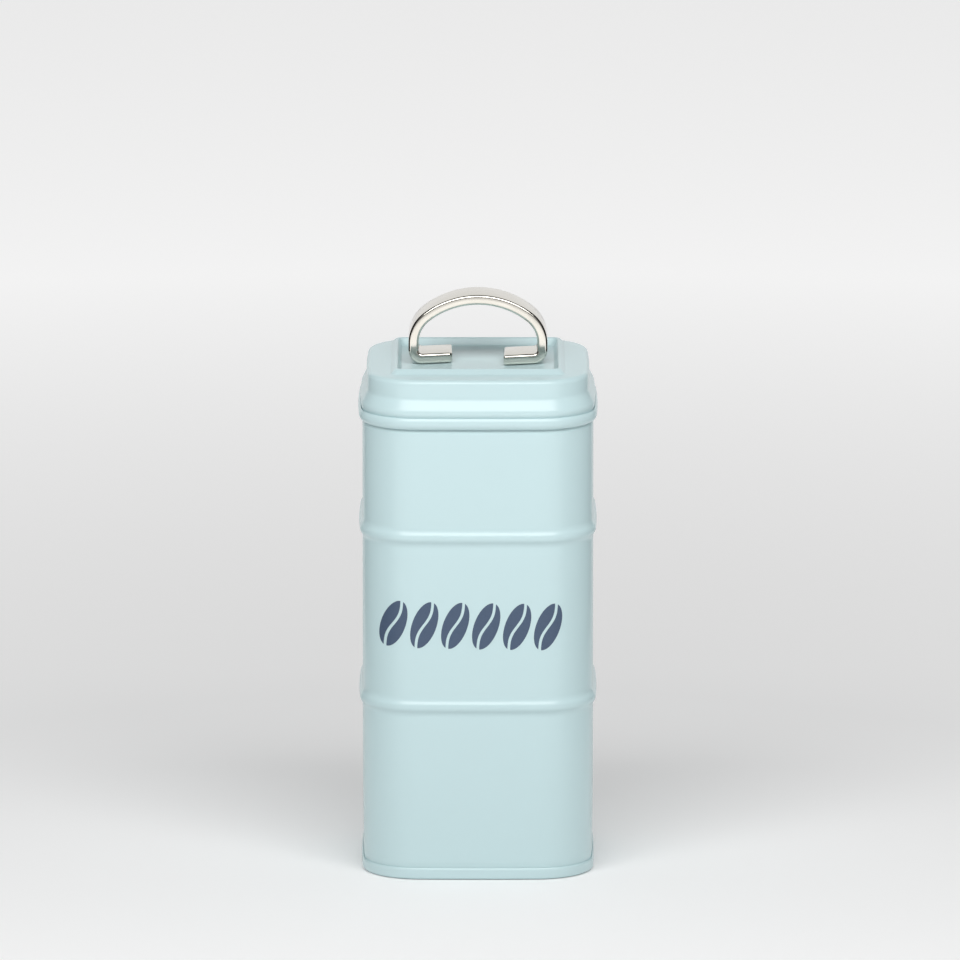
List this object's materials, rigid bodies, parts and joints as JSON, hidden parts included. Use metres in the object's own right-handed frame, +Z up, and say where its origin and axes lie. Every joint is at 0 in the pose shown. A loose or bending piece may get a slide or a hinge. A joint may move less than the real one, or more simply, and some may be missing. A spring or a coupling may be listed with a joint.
{
  "type": "square coffee tin",
  "caption": "Tall square storage tin with rounded corners, rolled beads and a stepped lift-off lid with a bent strap handle.",
  "frame": {"origin": "middle of the face that the tin stands on", "axes": "+Z up, -Y out of the printed front, +X to the right of someone facing the front"},
  "size_m": [0.0932, 0.0932, 0.2245],
  "materials": {
    "body_paint": "pale blue satin enamel",
    "lid_paint": "pale blue satin enamel",
    "seal": "translucent white silicone",
    "handle_plate": "bright nickel plating",
    "fasteners": "zinc plated"
  },
  "bodies": {
    "tin": {"body_wall": "body_paint", "base_panel": "body_paint"},
    "lid": {"lid_shell": "lid_paint", "lid_seal": "seal", "handle": "handle_plate", "left_screw": "fasteners", "left_washer": "fasteners", "right_screw": "fasteners", "right_washer": "fasteners"}
  },
  "joints": [
    {"name": "lid_lift", "type": "slide", "parent": "tin", "child": "lid", "axis": [0, 0, 1], "range_m": [0, 0.06]}
  ]
}
